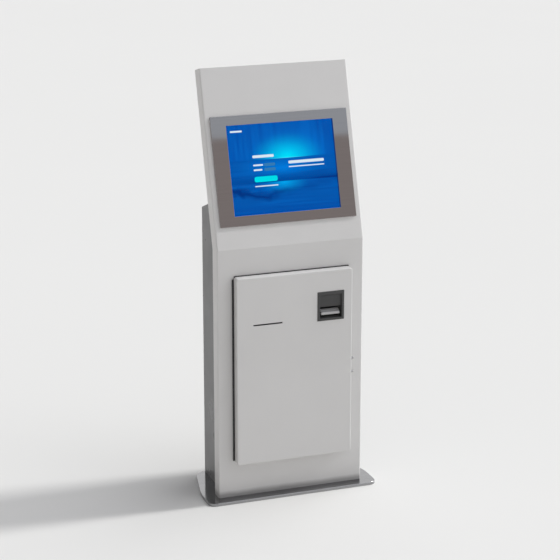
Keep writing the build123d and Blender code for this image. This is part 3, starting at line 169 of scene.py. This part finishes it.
class Shader(NodeTree):
    """A material under construction around its Principled shader."""

    def __init__(self, name):
        self.material = bpy.data.materials.new(name)
        self.material.use_nodes = True
        super().__init__(self.material.node_tree, "Object")
        self.bsdf = self.tree.nodes["Principled BSDF"]

    def set(self, **values):
        """Inputs of the Principled shader, with underscores for spaces."""
        for key, value in values.items():
            self.feed(self.bsdf.inputs[key.replace("_", " ")], value)


def rgba(colour):
    return (*colour, 1.0) if len(colour) == 3 else tuple(colour)


# ---------------------------------------------------------------- materials
# Painted shade: the coat is darkened in a strip just above the floor plate, standing in for the shade
# and the dark plate's reflection where the coat meets the plate.
PAINTED_SHADE_HEIGHTS = (18.0 * MM, 34.0 * MM)    # painted shade strip just above the floor plate
PAINTED_SHADE_COLOUR = (0.055, 0.055, 0.055)


def powder_coat(name, colour, roughness, grain, wear_colour, painted_foot_shade=0.0):
    """Textured powder coat: orange peel, faint mottling, rubbed edges, and painted shade darkening the
    foot.
    """
    m = Shader(name)
    mottle = m.noise(3.5, 3.0, 0.5)
    handled = m.noise(11.0, 3.0, 0.5)
    darker = tuple(0.93 * c for c in colour)
    base = m.blend(m.remap(mottle, 0.15, 0.85, 0.0, 1.0), colour, darker)
    rubbed = m.math("MULTIPLY", m.edge_mask(0.0012), m.remap(handled, 0.42, 0.66, 0.05, 0.55))
    base = m.blend(rubbed, base, wear_colour)
    # painted shade: darken the coat below a ragged line just above the floor plate
    _, _, z = m.split()
    uneven = m.remap(handled, 0.3, 0.7, -2.0 * MM, 2.0 * MM)
    painted_shade = m.remap(m.math("ADD", z, uneven), *PAINTED_SHADE_HEIGHTS, painted_foot_shade, 0.0)
    base = m.blend(painted_shade, base, PAINTED_SHADE_COLOUR)
    peel = m.noise(420.0, 1.0, 0.4)
    normal = m.bump(peel, grain, 0.35, m.soft_edges(0.0009))
    rough = m.remap(handled, 0.15, 0.85, roughness - 0.07, roughness + 0.08)
    m.set(Base_Color=base, Roughness=rough, Normal=normal, Specular_IOR_Level=0.45)
    return m.material


def brushed(name, colour, roughness, lines, depth, anisotropy=0.0, smudge=0.06, tint=0.12):
    """Metal with fine brush lines along one axis and faint handling marks."""
    m = Shader(name)
    grain = m.noise(1.0, 4.0, 0.7, m.stretched(*lines))
    smear = m.noise(7.0, 5.0, 0.6)
    light = tuple(min(1.0, (1.0 + tint) * c) for c in colour)
    dark = tuple((1.0 - tint) * c for c in colour)
    base = m.blend(m.remap(grain, 0.35, 0.65, 0.0, 1.0), dark, light)
    rough = m.math(
        "ADD",
        m.remap(grain, 0.3, 0.7, 0.7 * roughness, 1.4 * roughness),
        m.remap(smear, 0.45, 0.7, 0.0, smudge),
    )
    normal = m.bump(grain, depth, 0.6, m.soft_edges(0.0006))
    m.set(Base_Color=base, Metallic=1.0, Roughness=rough, Normal=normal, Anisotropic=anisotropy)
    return m.material


def zinc_sheet():
    """Zinc plated sheet steel with its spangle."""
    m = Shader("zinc_steel")
    spangle = m.cells(70.0)
    tone = m.remap(spangle.outputs["Color"], 0.0, 1.0, 0.0, 1.0)
    base = m.blend(tone, (0.50, 0.51, 0.52), (0.66, 0.67, 0.68))
    rough = m.remap(m.noise(18.0, 4.0), 0.3, 0.7, 0.30, 0.46)
    normal = m.bump(m.noise(350.0, 2.0), 0.00003, 0.4, m.soft_edges(0.0005))
    m.set(Base_Color=base, Metallic=0.9, Roughness=rough, Normal=normal)
    return m.material


def moulded(name, colour, roughness, grain=0.00006, coat=0.0, scale=1100.0):
    """Moulded plastic with a spark-eroded texture and slightly polished edges."""
    m = Shader(name)
    dust = m.noise(26.0, 5.0, 0.65)
    worn = tuple(min(1.0, c * 1.35 + 0.02) for c in colour)
    base = m.blend(m.remap(dust, 0.5, 0.8, 0.0, 0.25), colour, worn)
    base = m.blend(m.math("MULTIPLY", m.edge_mask(0.0008), 0.35), base, worn)
    normal = m.bump(m.noise(scale, 2.0, 0.5), grain, 0.5, m.soft_edges(0.0006))
    rough = m.remap(dust, 0.3, 0.7, roughness - 0.04, roughness + 0.06)
    m.set(Base_Color=base, Roughness=rough, Normal=normal, Coat_Weight=coat)
    m.set(Specular_IOR_Level=0.5)
    return m.material


def rubber():
    m = Shader("rubber")
    bloom = m.noise(60.0, 4.0, 0.6)
    base = m.blend(m.remap(bloom, 0.4, 0.75, 0.0, 1.0), (0.018, 0.018, 0.019), (0.045, 0.045, 0.046))
    normal = m.bump(m.noise(800.0, 2.0), 0.00005, 0.5)
    m.set(Base_Color=base, Roughness=m.remap(bloom, 0.3, 0.7, 0.55, 0.75), Normal=normal)
    return m.material


def clear_glass():
    """Toughened touch glass with a few finger smears."""
    m = Shader("touch_glass")
    smear = m.noise(9.0, 6.0, 0.7, m.stretched(1.0, 2.0, 2.0))
    m.set(Base_Color=(0.97, 0.985, 1.0, 1.0), Transmission_Weight=1.0, IOR=1.13)
    m.set(Roughness=m.remap(smear, 0.5, 0.75, 0.015, 0.07))
    return m.material


def dark_display():
    """Panel behind the picture: black matrix with a faint cell pattern."""
    m = Shader("display_panel")
    weave = m.noise(1.0, 2.0, 0.5, m.stretched(900.0, 900.0, 900.0))
    base = m.blend(weave, (0.006, 0.007, 0.010), (0.014, 0.016, 0.022))
    m.set(Base_Color=base, Roughness=m.remap(weave, 0.2, 0.8, 0.25, 0.4))
    return m.material


def circuit_board():
    m = Shader("circuit_board")
    tracks = m.cells(260.0)
    lines = m.remap(tracks.outputs["Distance"], 0.25, 0.32, 0.0, 1.0)
    base = m.blend(lines, (0.02, 0.20, 0.08), (0.012, 0.11, 0.05))
    m.set(Base_Color=base, Roughness=m.remap(lines, 0.0, 1.0, 0.3, 0.45))
    m.set(Normal=m.bump(lines, 0.00004, 0.5))
    return m.material


def thermal_paper():
    """Wound paper: rings on the end faces, faint fibres elsewhere."""
    m = Shader("thermal_paper")
    low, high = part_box("paper_roll")
    _, y, z = m.split()
    across = m.math("SUBTRACT", y, (low.y + high.y) / 2)
    up = m.math("SUBTRACT", z, (low.z + high.z) / 2)
    square = m.math("ADD", m.math("MULTIPLY", across, across), m.math("MULTIPLY", up, up))
    radius = m.math("SQRT", square)
    rings = m.math("SINE", m.math("MULTIPLY", radius, 9000.0))
    base = m.blend(m.remap(rings, -1.0, 1.0, 0.0, 1.0), (0.80, 0.80, 0.78), (0.70, 0.70, 0.67))
    fibres = m.noise(500.0, 3.0)
    m.set(Base_Color=base, Roughness=m.remap(fibres, 0.3, 0.7, 0.6, 0.8))
    m.set(Normal=m.bump(fibres, 0.00003, 0.4))
    return m.material


LIGHT_GREY = (0.676, 0.671, 0.661)
DARK_GREY = (0.105, 0.105, 0.107)


def make_materials():
    """One material for each slot of the record."""
    return {
        # the light coat carries the painted shade strip at its foot
        "light_powder_coat": powder_coat(
            "light_powder_coat", LIGHT_GREY, 0.42, 0.00006, (0.80, 0.80, 0.79), painted_foot_shade=0.46
        ),
        "dark_powder_coat": powder_coat(
            "dark_powder_coat", DARK_GREY, 0.30, 0.00002, (0.30, 0.30, 0.31)
        ),
        "polished_plate": brushed(
            "polished_plate", (0.343, 0.343, 0.350), 0.10, (2.0, 700.0, 700.0), 0.000008, 0.3
        ),
        "brushed_bezel": brushed(
            "brushed_bezel", (0.47, 0.467, 0.465), 0.022, (3.0, 900.0, 900.0), 0.0000003,
            smudge=0.012, tint=0.04,
        ),
        "touch_glass": clear_glass(),
        "display": dark_display(),
        "zinc_steel": zinc_sheet(),
        "bright_fastener": brushed(
            "bright_fastener", (0.70, 0.70, 0.69), 0.22, (400.0, 400.0, 400.0), 0.00001
        ),
        "hinge_steel": brushed(
            "hinge_steel", (0.055, 0.055, 0.057), 0.42, (500.0, 500.0, 8.0), 0.00001
        ),
        "lock_metal": brushed(
            "lock_metal", (0.42, 0.42, 0.42), 0.24, (300.0, 300.0, 300.0), 0.00001
        ),
        "black_plastic": moulded("black_plastic", (0.045, 0.045, 0.045), 0.42),
        "lip_plastic": moulded("lip_plastic", (0.46, 0.46, 0.46), 0.30, 0.00003, 0.3),
        "black_metal": powder_coat(
            "black_metal", (0.035, 0.035, 0.038), 0.42, 0.00006, (0.16, 0.16, 0.165)
        ),
        "satin_button": brushed(
            "satin_button", (0.68, 0.68, 0.69), 0.28, (600.0, 600.0, 600.0), 0.00001
        ),
        "red_plastic": moulded("red_plastic", (0.48, 0.02, 0.02), 0.28, 0.00002, 0.3),
        "white_plastic": moulded("white_plastic", (0.72, 0.71, 0.67), 0.38),
        "circuit_board": circuit_board(),
        "rubber": rubber(),
        "thermal_paper": thermal_paper(),
    }


def dress_cad_nodes(materials):
    """Each CAD node takes the material of its slot."""
    for name, node in NODES.items():
        node.data.materials.clear()
        node.data.materials.append(materials[SLOT_OF[name]])


# ---------------------------------------------------------------- screen picture
TILT = math.radians(16.67)
UP_SLOPE = Vector((0, math.sin(TILT), math.cos(TILT)))
OUTWARD = Vector((0, -math.cos(TILT), math.sin(TILT)))
SCREEN_SIZE = (377.0 * MM, 301.2 * MM)
PANEL_HALF_T = 6.5 * MM
WHITE = (0.80, 0.92, 1.0)
CYAN = (0.0, 0.83, 0.92)
SLATE = (0.04, 0.22, 0.50)
NIGHT_SKY = (0.001, 0.075, 0.39)
CURTAIN = (0.001, 0.135, 0.55)
DEEP_WATER = (0.001, 0.080, 0.37)
RIPPLE = (0.001, 0.115, 0.49)
HORIZON = 0.605                 # heights in the picture, as shares of the screen
NEAR_EDGE = 0.345               # where the dark band of water ends
EDGE_BLUR = 0.007
PICTURE_LIFT = 0.05 * MM
BAR_LIFT = 0.12 * MM

# Generic screen furniture: (left, width, middle, height) as shares of the screen, and its colour
BARS = [
    (0.225, 0.198, 0.640, 0.030, WHITE),
    (0.225, 0.090, 0.545, 0.018, WHITE),
    (0.325, 0.105, 0.545, 0.034, SLATE),
    (0.225, 0.080, 0.492, 0.018, WHITE),
    (0.325, 0.105, 0.492, 0.034, SLATE),
    (0.225, 0.215, 0.388, 0.060, CYAN),
    (0.225, 0.215, 0.312, 0.012, WHITE),
    (0.555, 0.335, 0.552, 0.032, WHITE),
    (0.555, 0.335, 0.502, 0.012, WHITE),
    (0.040, 0.110, 0.930, 0.020, WHITE),
]


def screen_point(u, v, lift):
    """Point of the visible display at shares u across and v up, lifted off the panel."""
    low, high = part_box("lcd_panel")
    centre = (low + high) / 2 + OUTWARD * (PANEL_HALF_T + lift)
    across = Vector((1, 0, 0)) * (u - 0.5) * SCREEN_SIZE[0]
    return centre + across + UP_SLOPE * (v - 0.5) * SCREEN_SIZE[1]


def mesh_piece(name, vertices, faces, material, body):
    """A mesh object that rides on a body."""
    mesh = bpy.data.meshes.new(name)
    mesh.from_pydata([tuple(v) for v in vertices], [], faces)
    mesh.materials.append(material)
    piece = bpy.data.objects.new(name, mesh)
    bpy.context.scene.collection.objects.link(piece)
    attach(piece, body)
    return piece


class Picture(Shader):
    """Lit picture: deep blue night sky, a cyan glow on a far horizon, dark shore."""

    def __init__(self, name):
        super().__init__(name)
        origin = screen_point(0.0, 0.0, 0.0)
        top = screen_point(0.0, 1.0, 0.0)
        x, _, z = self.split()
        self.u = self.remap(x, origin.x, -origin.x, 0.0, 1.0)
        self.v = self.remap(z, origin.z, top.z, 0.0, 1.0)

    def spot(self, centre_u, centre_v, radius_u, radius_v):
        """Round glow, 1 in its middle and 0 at its rim."""
        du = self.math("DIVIDE", self.math("SUBTRACT", self.u, centre_u), radius_u)
        dv = self.math("DIVIDE", self.math("SUBTRACT", self.v, centre_v), radius_v)
        square = self.math("ADD", self.math("POWER", du, 2.0), self.math("POWER", dv, 2.0))
        reach = self.math("SQRT", square)
        return self.math("POWER", self.remap(reach, 0.0, 1.0, 1.0, 0.0), 1.7)

    def stripe(self, middle, half_height):
        """1 along a height of the picture, 0 at half_height above and below it."""
        away = self.math("ABSOLUTE", self.math("SUBTRACT", self.v, middle))
        return self.remap(away, 0.0, half_height, 1.0, 0.0)

    def sky(self):
        """Faint hanging curtains of light and the glow over the horizon."""
        curtains = self.noise(1.0, 3.0, 0.6, self.stretched(55.0, 3.0, 3.0))
        colour = self.blend(self.remap(curtains, 0.4, 0.75, 0.0, 1.0), NIGHT_SKY, CURTAIN)
        colour = self.blend(self.spot(0.58, 0.64, 0.60, 0.42), colour, (0.0, 0.21, 0.74))
        return self.blend(self.spot(0.55, HORIZON, 0.37, 0.30), colour, (0.0, 0.82, 1.0))

    def sea(self):
        """Rippled water, a dark band across it and a second glow below the band."""
        ripples = self.noise(1.0, 4.0, 0.6, self.stretched(6.0, 160.0, 160.0))
        colour = self.blend(self.remap(ripples, 0.35, 0.7, 0.0, 1.0), DEEP_WATER, RIPPLE)
        colour = self.blend(self.spot(0.50, 0.50, 0.52, 0.16), colour, (0.0, 0.20, 0.72))
        above = self.remap(self.v, NEAR_EDGE, NEAR_EDGE + EDGE_BLUR, 0.0, 0.6)
        deep = self.math("MULTIPLY", self.remap(self.v, 0.35, 0.46, 1.0, 0.0), above)
        colour = self.blend(deep, colour, (0.0, 0.045, 0.26))
        below = self.remap(self.v, NEAR_EDGE, NEAR_EDGE + EDGE_BLUR, 0.95, 0.0)
        under = self.math("MULTIPLY", below, self.spot(0.50, NEAR_EDGE, 0.26, 0.15))
        return self.blend(under, colour, (0.0, 0.42, 0.90))

    def with_coast(self, colour):
        """A low cape at the right and a ragged shore, lowest near the middle."""
        cape = self.math("MULTIPLY", self.stripe(0.356, 0.020), self.remap(self.u, 0.66, 0.84, 0.0, 0.9))
        colour = self.blend(cape, colour, (0.001, 0.030, 0.21))
        clouds = self.noise(26.0, 5.0, 0.68)
        inlet = self.math("ABSOLUTE", self.math("SUBTRACT", self.u, 0.36))
        shore_line = self.math("ADD", self.math("MULTIPLY", inlet, 0.22), 0.185)
        shore_wave = self.math("ADD", shore_line, self.remap(clouds, 0.3, 0.7, -0.035, 0.045))
        near = self.remap(self.u, 0.30, 0.62, 0.85, 0.25)
        shore = self.math("MULTIPLY", self.stripe(shore_wave, 0.060), near)
        colour = self.blend(shore, colour, (0.001, 0.022, 0.17))
        foot = self.remap(self.v, 0.0, 0.12, 0.35, 0.0)
        return self.blend(foot, colour, (0.001, 0.055, 0.36))


def picture_material():
    """The whole picture as light given off by the screen."""
    m = Picture("screen_picture")
    above = m.remap(m.v, HORIZON - 0.004, HORIZON + 0.004, 0.0, 1.0)
    picture = m.blend(above, m.sea(), m.sky())
    picture = m.blend(m.spot(0.55, HORIZON, 0.26, 0.008), picture, (0.06, 0.76, 0.98))
    m.set(Base_Color=(0.0, 0.0, 0.0, 1.0), Roughness=0.4, Specular_IOR_Level=0.0)
    m.set(Emission_Color=m.with_coast(picture), Emission_Strength=1.0)
    return m.material


def lit_material(name, colour):
    """Lit screen furniture with a faint cell pattern."""
    m = Shader(name)
    cell = m.noise(1.0, 1.0, 0.5, m.stretched(1500.0, 1500.0, 1500.0))
    dim = tuple(0.86 * c for c in colour)
    m.set(Base_Color=(0.0, 0.0, 0.0, 1.0), Specular_IOR_Level=0.0)
    m.set(Emission_Color=m.blend(cell, dim, colour), Emission_Strength=0.95)
    return m.material


def make_screen():
    """The lit picture and its plain bars, just in front of the display panel."""
    corners = [screen_point(u, v, PICTURE_LIFT) for u, v in ((0, 0), (1, 0), (1, 1), (0, 1))]
    picture = picture_material()
    mesh_piece("screen_picture", corners, [(0, 1, 2, 3)], picture, "cabinet")
    colours = {"white": WHITE, "cyan": CYAN, "slate": SLATE}
    lit = {colour: lit_material(f"lit_{name}", colour) for name, colour in colours.items()}
    for number, (left, width, middle, height, colour) in enumerate(BARS):
        points = bar_outline(left, width, middle, height)
        face = [tuple(range(len(points)))]
        mesh_piece(f"screen_bar_{number:02d}", points, face, lit[colour], "cabinet")


def bar_outline(left, width, middle, height):
    """Rounded rectangle on the screen, corner arcs of a third of its height."""
    arc_steps = 4
    aspect = SCREEN_SIZE[1] / SCREEN_SIZE[0]
    radius = height / 3
    points = []
    for corner, (su, sv) in enumerate(((1, 1), (-1, 1), (-1, -1), (1, -1))):
        centre_u = left + width / 2 + su * (width / 2 - radius * aspect)
        centre_v = middle + sv * (height / 2 - radius)
        for step in range(arc_steps + 1):
            angle = math.pi / 2 * (corner + step / arc_steps)
            u = centre_u + math.cos(angle) * radius * aspect
            v = centre_v + math.sin(angle) * radius
            points.append(screen_point(u, v, BAR_LIFT))
    return points


# ---------------------------------------------------------------- receipt paper
PAPER_CLEARANCE = 0.1 * MM       # keeps the strip just off the roll
ENTRY_HEIGHT = 26.2 * MM         # paper slot above the foot of the print mechanism
REACH_INSIDE = 30 * MM
WRAP_STEPS = 8
WRAP_STEP = math.radians(6.0)


def make_paper_web(material):
    """Paper that leaves the roll on a tangent and enters the print mechanism."""
    roll_low, roll_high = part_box("paper_roll")
    mechanism_low, mechanism_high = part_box("print_mechanism")
    radius = (roll_high.z - roll_low.z) / 2 + PAPER_CLEARANCE
    centre = (roll_low + roll_high) / 2
    entry = Vector((0, mechanism_high.y, mechanism_low.z + ENTRY_HEIGHT))
    away = Vector((0, entry.y - centre.y, entry.z - centre.z))
    leave = math.atan2(away.z, away.y) - math.acos(radius / away.length)
    outline = []
    for step in range(WRAP_STEPS, -1, -1):
        angle = leave - WRAP_STEP * step
        outline.append((centre.y + radius * math.cos(angle), centre.z + radius * math.sin(angle)))
    outline.append((entry.y, entry.z))
    outline.append((entry.y - REACH_INSIDE, entry.z))
    vertices = [(x, y, z) for y, z in outline for x in (roll_low.x, roll_high.x)]
    faces = [(2 * n, 2 * n + 1, 2 * n + 3, 2 * n + 2) for n in range(len(outline) - 1)]
    mesh_piece("paper_web", vertices, faces, material, "door")


# ---------------------------------------------------------------- stage
KEY_DIRECTION = (0.76, -0.040, 0.62)
SKY = (0.522, 0.542, 0.590)
LEFT_SKY = (0.265, 0.265, 0.265)
FRONT_BAND = (0.357, 0.310, 0.303)
BACK_WALL = (1.0, 1.0, 1.0)
BAND_EDGE = (0.3845, 0.3865)     # height where the dim band in front gives way to the sky
BAND_SLOPE = 0.165               # how much lower that is toward the right
HAZE = (0.85, 0.85, 0.855)       # meets the far edge of the floor
HAZE_TOP = (0.07, 0.16)          # heights between which the haze thins out
FLOOR_HALF = 60.0
FLOOR_TONES = ((0.794, 0.788, 0.766), (0.806, 0.800, 0.778))
KEY = (1.80, 7.0)                # strength and softness
KEY_GLOW = (1.10, 80.0)


def make_floor():
    mesh = bpy.data.meshes.new("floor")
    quarters = ((-1, -1), (1, -1), (1, 1), (-1, 1))
    corners = [(x * FLOOR_HALF, y * FLOOR_HALF, 0) for x, y in quarters]
    mesh.from_pydata(corners, [], [(0, 1, 2, 3)])
    m = Shader("floor_paint")
    tone = m.noise(0.6, 2.0)
    base = m.blend(tone, *FLOOR_TONES)
    m.set(Base_Color=base, Roughness=0.9, Specular_IOR_Level=0.1)
    mesh.materials.append(m.material)
    floor = bpy.data.objects.new("floor", mesh)
    bpy.context.scene.collection.objects.link(floor)


def make_world():
    """Studio surround: a soft sky over a dim band in front and a pale wall behind."""
    world = bpy.data.worlds.new("studio")
    bpy.context.scene.world = world
    world.use_nodes = True
    n = NodeTree(world.node_tree, "Generated")
    x, y, z = n.split()
    overhead = n.blend(n.remap(x, -0.55, 0.15, 0.0, 1.0), LEFT_SKY, SKY)
    slanted = n.math("ADD", z, n.math("MULTIPLY", x, BAND_SLOPE))
    sky = n.blend(n.remap(slanted, *BAND_EDGE, 0.0, 1.0), FRONT_BAND, overhead)
    behind = n.remap(y, 0.0, 0.5, 0.0, 1.0)
    low_down = n.remap(z, 0.40, 0.60, 1.0, 0.0)
    wall = n.blend(n.remap(x, -0.5, 0.2, 0.0, 1.0), LEFT_SKY, BACK_WALL)
    surround = n.blend(n.math("MULTIPLY", behind, low_down), sky, wall)
    surround = n.blend(n.remap(z, *HAZE_TOP, 1.0, 0.0), surround, HAZE)
    n.feed(world.node_tree.nodes["Background"].inputs["Color"], surround)


def make_sun(name, direction, strength, softness):
    """Far light with soft shadow edges; softness is its apparent width in degrees."""
    data = bpy.data.lights.new(name, "SUN")
    data.energy = strength
    data.angle = math.radians(softness)
    light = bpy.data.objects.new(name, data)
    light.rotation_euler = Vector(direction).to_track_quat("Z", "Y").to_euler()
    bpy.context.scene.collection.objects.link(light)


def make_camera():
    target = (CAD_BOX[0] + CAD_BOX[1]) / 2
    data = bpy.data.cameras.new("camera")
    data.sensor_width = SENSOR_WIDTH
    data.lens = LENS
    camera = bpy.data.objects.new("camera", data)
    flat = math.cos(VIEW_ELEVATION)
    way = Vector((
        math.sin(VIEW_AZIMUTH) * flat,
        -math.cos(VIEW_AZIMUTH) * flat,
        math.sin(VIEW_ELEVATION),
    ))
    camera.location = target + way * VIEW_DISTANCE
    camera.rotation_euler = way.to_track_quat("Z", "Y").to_euler()
    bpy.context.scene.collection.objects.link(camera)
    bpy.context.scene.camera = camera


make_camera()
make_floor()
make_world()
make_sun("key", KEY_DIRECTION, *KEY)
make_sun("key_glow", KEY_DIRECTION, *KEY_GLOW)
materials = make_materials()
dress_cad_nodes(materials)
make_screen()
make_paper_web(materials["thermal_paper"])
bpy.context.scene.view_settings.view_transform = "Standard"
